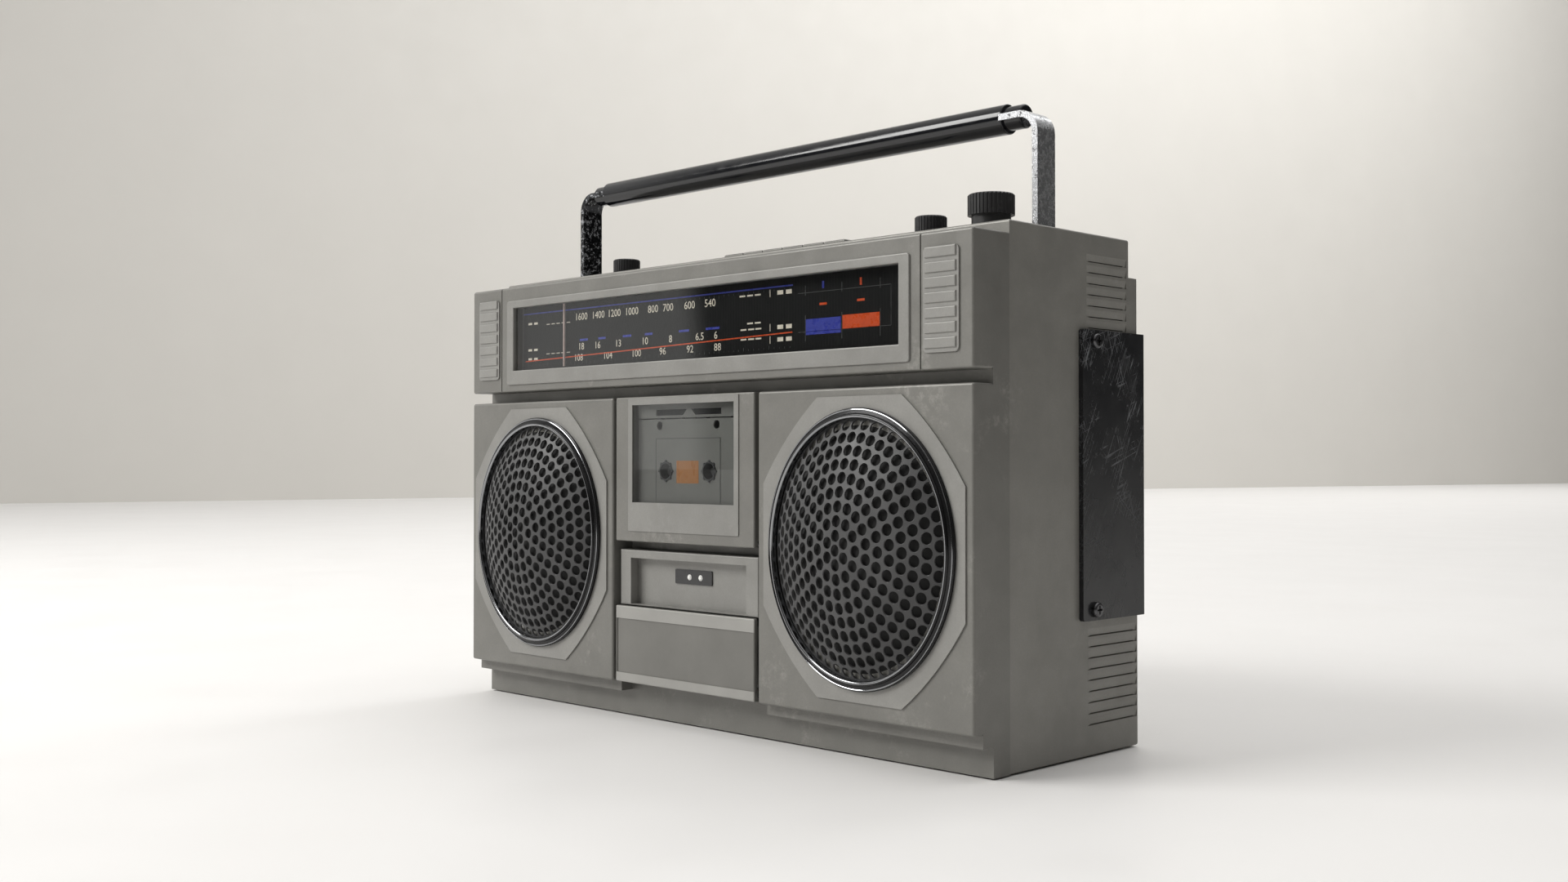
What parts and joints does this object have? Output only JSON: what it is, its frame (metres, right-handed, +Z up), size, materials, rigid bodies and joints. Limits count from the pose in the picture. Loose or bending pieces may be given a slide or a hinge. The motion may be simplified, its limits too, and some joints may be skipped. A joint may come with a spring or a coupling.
{
  "type": "portable radio cassette recorder",
  "caption": "Portable stereo radio cassette recorder with domed oval speaker grilles, a wide dial, hinged cassette door, folding handle, keys and knobs.",
  "frame": {"origin": "middle of the footprint, on the plane under the feet", "axes": "+X to the right seen from the front, +Y from the front to the back, +Z up"},
  "size_m": [0.492, 0.1878, 0.3941],
  "materials": {
    "body_paint": "warm silver-grey painted plastic, satin, mottled with wear",
    "rear_paint": "darker warm grey painted plastic",
    "light_plate": "light silver-grey plastic",
    "ribbed_plate": "bright silver-grey ribbed plastic",
    "chrome": "bright chrome",
    "grille_steel": "bright perforated steel",
    "black_plastic": "black moulded plastic",
    "black_guard": "black painted steel",
    "screw_steel": "zinc-plated steel",
    "rubber": "black rubber",
    "scale_print": null,
    "clear": "clear plastic",
    "smoke": "dark window",
    "lamp": "milky lamp",
    "pointer": "pale pink pointer",
    "paper": "dark paper cone",
    "steel": "steel",
    "tape_shell": "dark cassette",
    "reel_plastic": "light plastic",
    "grip": "black soft plastic",
    "cell": "plain wrapped cell",
    "brass": "plated spring brass",
    "board": "circuit board",
    "core": "laminated core"
  },
  "bodies": {
    "case": {"front_shell": "body_paint", "rear_case": "rear_paint", "case_screws": "screw_steel", "rubber_feet": "rubber", "end_plates": "ribbed_plate", "side_guards": "black_guard", "dial_bezel": "light_plate", "dial_window": "clear", "dial_scale": "scale_print", "speaker_trims": "body_paint", "speaker_rings": "chrome", "speaker_grilles": "grille_steel", "speaker_frames": "steel", "deck_plate": "steel", "deck_motor": "steel", "drive_belt": "rubber", "indicator_panel": "light_plate", "indicator_window": "smoke", "indicator_lamps": "lamp", "pivot_pins": "screw_steel", "control_units": "steel", "batteries": "cell", "battery_contacts": "brass", "rear_sockets": "black_plastic", "transformer": "core", "main_board": "board"},
    "pointer": {"dial_pointer": "pointer"},
    "drum": {"tuning_drum": "reel_plastic"},
    "cone_right": {"speaker_cone_right": "paper"},
    "cone_left": {"speaker_cone_left": "paper"},
    "door": {"cassette_door": "body_paint", "door_bezel": "light_plate", "door_window": "clear", "cassette_holder": "black_plastic", "cassette_shell": "tape_shell"},
    "reel_left": {"reel_left": "reel_plastic"},
    "reel_right": {"reel_right": "reel_plastic"},
    "spindle_left": {"spindle_left": "black_plastic"},
    "spindle_right": {"spindle_right": "black_plastic"},
    "flywheel": {"flywheel": "steel"},
    "motor_pulley": {"motor_pulley": "brass"},
    "head_bridge": {"head_bridge": "steel", "tape_head": "chrome"},
    "pinch_roller": {"pinch_roller": "rubber"},
    "flap": {"band_flap": "body_paint"},
    "band_slider": {"band_slider": "black_plastic"},
    "handle": {"handle_strip": "chrome", "handle_grip": "grip"},
    "volume_knob": {"volume_knob": "black_plastic"},
    "tone_knob": {"tone_knob": "black_plastic"},
    "tuning_knob": {"tuning_knob": "black_plastic"},
    "battery_lid": {"battery_lid": "rear_paint"},
    "aerial": {"aerial_mast": "chrome"},
    "aerial_tip": {"aerial_tip": "chrome"},
    "key_record": {"key_record": "black_plastic"},
    "key_play": {"key_play": "black_plastic"},
    "key_rewind": {"key_rewind": "black_plastic"},
    "key_forward": {"key_forward": "black_plastic"},
    "key_stop": {"key_stop": "black_plastic"},
    "key_pause": {"key_pause": "black_plastic"}
  },
  "joints": [
    {"name": "tuning_turn", "type": "hinge", "parent": "case", "child": "tuning_knob", "pos_m": [0.2125, -0.0209, 0.312], "axis": [0, 0, -1], "range_deg": [-250, 1980]},
    {"name": "pointer_slide", "type": "slide", "parent": "case", "child": "pointer", "axis": [1, 0, 0], "range_m": [-0.0405, 0.3125]},
    {"name": "drum_turn", "type": "hinge", "parent": "case", "child": "drum", "pos_m": [0.15, -0.0509, 0.263], "axis": [0, 1, 0], "range_deg": [-76, 595]},
    {"name": "volume_turn", "type": "hinge", "parent": "case", "child": "volume_knob", "pos_m": [0.1672, -0.0209, 0.312], "axis": [0, 0, -1], "range_deg": [-140, 140]},
    {"name": "tone_turn", "type": "hinge", "parent": "case", "child": "tone_knob", "pos_m": [-0.12, -0.0209, 0.312], "axis": [0, 0, -1], "range_deg": [-140, 140]},
    {"name": "band_slide", "type": "slide", "parent": "case", "child": "band_slider", "axis": [1, 0, 0], "range_m": [-0.012, 0.012]},
    {"name": "cone_right_travel", "type": "slide", "parent": "case", "child": "cone_right", "axis": [0, 1, 0], "range_m": [-0.002, 0.002], "stiffness_N_per_m": 800},
    {"name": "cone_left_travel", "type": "slide", "parent": "case", "child": "cone_left", "axis": [0, 1, 0], "range_m": [-0.002, 0.002], "stiffness_N_per_m": 800},
    {"name": "door_open", "type": "hinge", "parent": "case", "child": "door", "pos_m": [0, -0.0679, 0.1245], "axis": [1, 0, 0], "range_deg": [0, 30], "stiffness_Nm_per_rad": 0.05, "springref_deg": -45.84},
    {"name": "flywheel_spin", "type": "hinge", "parent": "case", "child": "flywheel", "pos_m": [-0.028, -0.0459, 0.1996], "axis": [0, -1, 0], "continuous": true},
    {"name": "pulley_spin", "type": "hinge", "parent": "case", "child": "motor_pulley", "pos_m": [0.046, -0.0429, 0.1916], "axis": [0, -1, 0], "continuous": true},
    {"name": "spindle_left_spin", "type": "hinge", "parent": "case", "child": "spindle_left", "pos_m": [-0.02125, -0.0509, 0.1694], "axis": [0, -1, 0], "continuous": true},
    {"name": "reel_left_spin", "type": "hinge", "parent": "door", "child": "reel_left", "pos_m": [-0.02125, -0.0639, 0.1694], "axis": [0, -1, 0], "continuous": true},
    {"name": "spindle_right_spin", "type": "hinge", "parent": "case", "child": "spindle_right", "pos_m": [0.02125, -0.0509, 0.1694], "axis": [0, -1, 0], "continuous": true},
    {"name": "reel_right_spin", "type": "hinge", "parent": "door", "child": "reel_right", "pos_m": [0.02125, -0.0639, 0.1694], "axis": [0, -1, 0], "continuous": true},
    {"name": "head_bridge_slide", "type": "slide", "parent": "case", "child": "head_bridge", "axis": [0, 0, -1], "range_m": [0, 0.00405]},
    {"name": "roller_spin", "type": "hinge", "parent": "head_bridge", "child": "pinch_roller", "pos_m": [-0.028, -0.0639, 0.2109], "axis": [0, -1, 0], "continuous": true},
    {"name": "key_record_press", "type": "hinge", "parent": "case", "child": "key_record", "pos_m": [-0.00605, 0.0111, 0.304], "axis": [1, 0, 0], "range_deg": [0, 8], "stiffness_Nm_per_rad": 0.25, "springref_deg": -17.19},
    {"name": "key_play_press", "type": "hinge", "parent": "case", "child": "key_play", "pos_m": [0.01265, 0.0111, 0.304], "axis": [1, 0, 0], "range_deg": [0, 8], "stiffness_Nm_per_rad": 0.25, "springref_deg": -17.19},
    {"name": "key_rewind_press", "type": "hinge", "parent": "case", "child": "key_rewind", "pos_m": [0.03135, 0.0111, 0.304], "axis": [1, 0, 0], "range_deg": [0, 8], "stiffness_Nm_per_rad": 0.25, "springref_deg": -17.19},
    {"name": "key_forward_press", "type": "hinge", "parent": "case", "child": "key_forward", "pos_m": [0.05005, 0.0111, 0.304], "axis": [1, 0, 0], "range_deg": [0, 8], "stiffness_Nm_per_rad": 0.25, "springref_deg": -17.19},
    {"name": "key_stop_press", "type": "hinge", "parent": "case", "child": "key_stop", "pos_m": [0.06875, 0.0111, 0.304], "axis": [1, 0, 0], "range_deg": [0, 8], "stiffness_Nm_per_rad": 0.25, "springref_deg": -17.19},
    {"name": "key_pause_press", "type": "hinge", "parent": "case", "child": "key_pause", "pos_m": [0.08745, 0.0111, 0.304], "axis": [1, 0, 0], "range_deg": [0, 8], "stiffness_Nm_per_rad": 0.25, "springref_deg": -17.19},
    {"name": "flap_open", "type": "hinge", "parent": "case", "child": "flap", "pos_m": [0, -0.0679, 0.0296], "axis": [1, 0, 0], "range_deg": [0, 90], "stiffness_Nm_per_rad": 0.02, "springref_deg": -28.65},
    {"name": "handle_fold", "type": "hinge", "parent": "case", "child": "handle", "pos_m": [0, 0.0231, 0.3005], "axis": [-1, 0, 0], "range_deg": [0, 90]},
    {"name": "battery_lid_open", "type": "hinge", "parent": "case", "child": "battery_lid", "pos_m": [0, 0.0896, 0.029], "axis": [-1, 0, 0], "range_deg": [0, 95]},
    {"name": "aerial_swing", "type": "hinge", "parent": "case", "child": "aerial", "pos_m": [0.19, 0.0863, 0.294], "axis": [0, 1, 0], "range_deg": [0, 110]},
    {"name": "aerial_draw", "type": "slide", "parent": "aerial", "child": "aerial_tip", "axis": [-1, 0, 0], "range_m": [0, 0.13]}
  ],
  "couplings": [
    {"joint": "pointer_slide", "follows": "tuning_turn", "m_per_rad": 0.009},
    {"joint": "drum_turn", "follows": "tuning_turn", "ratio": 0.3},
    {"joint": "pulley_spin", "follows": "flywheel_spin", "ratio": 4},
    {"joint": "spindle_left_spin", "follows": "flywheel_spin", "ratio": 0.05952},
    {"joint": "reel_left_spin", "follows": "flywheel_spin", "ratio": 0.05952},
    {"joint": "spindle_right_spin", "follows": "flywheel_spin", "ratio": 0.07813},
    {"joint": "reel_right_spin", "follows": "flywheel_spin", "ratio": 0.07813},
    {"joint": "roller_spin", "follows": "flywheel_spin", "ratio": -0.20833},
    {"joint": "head_bridge_slide", "follows": "key_play_press", "m_per_rad": 0.0286}
  ]
}
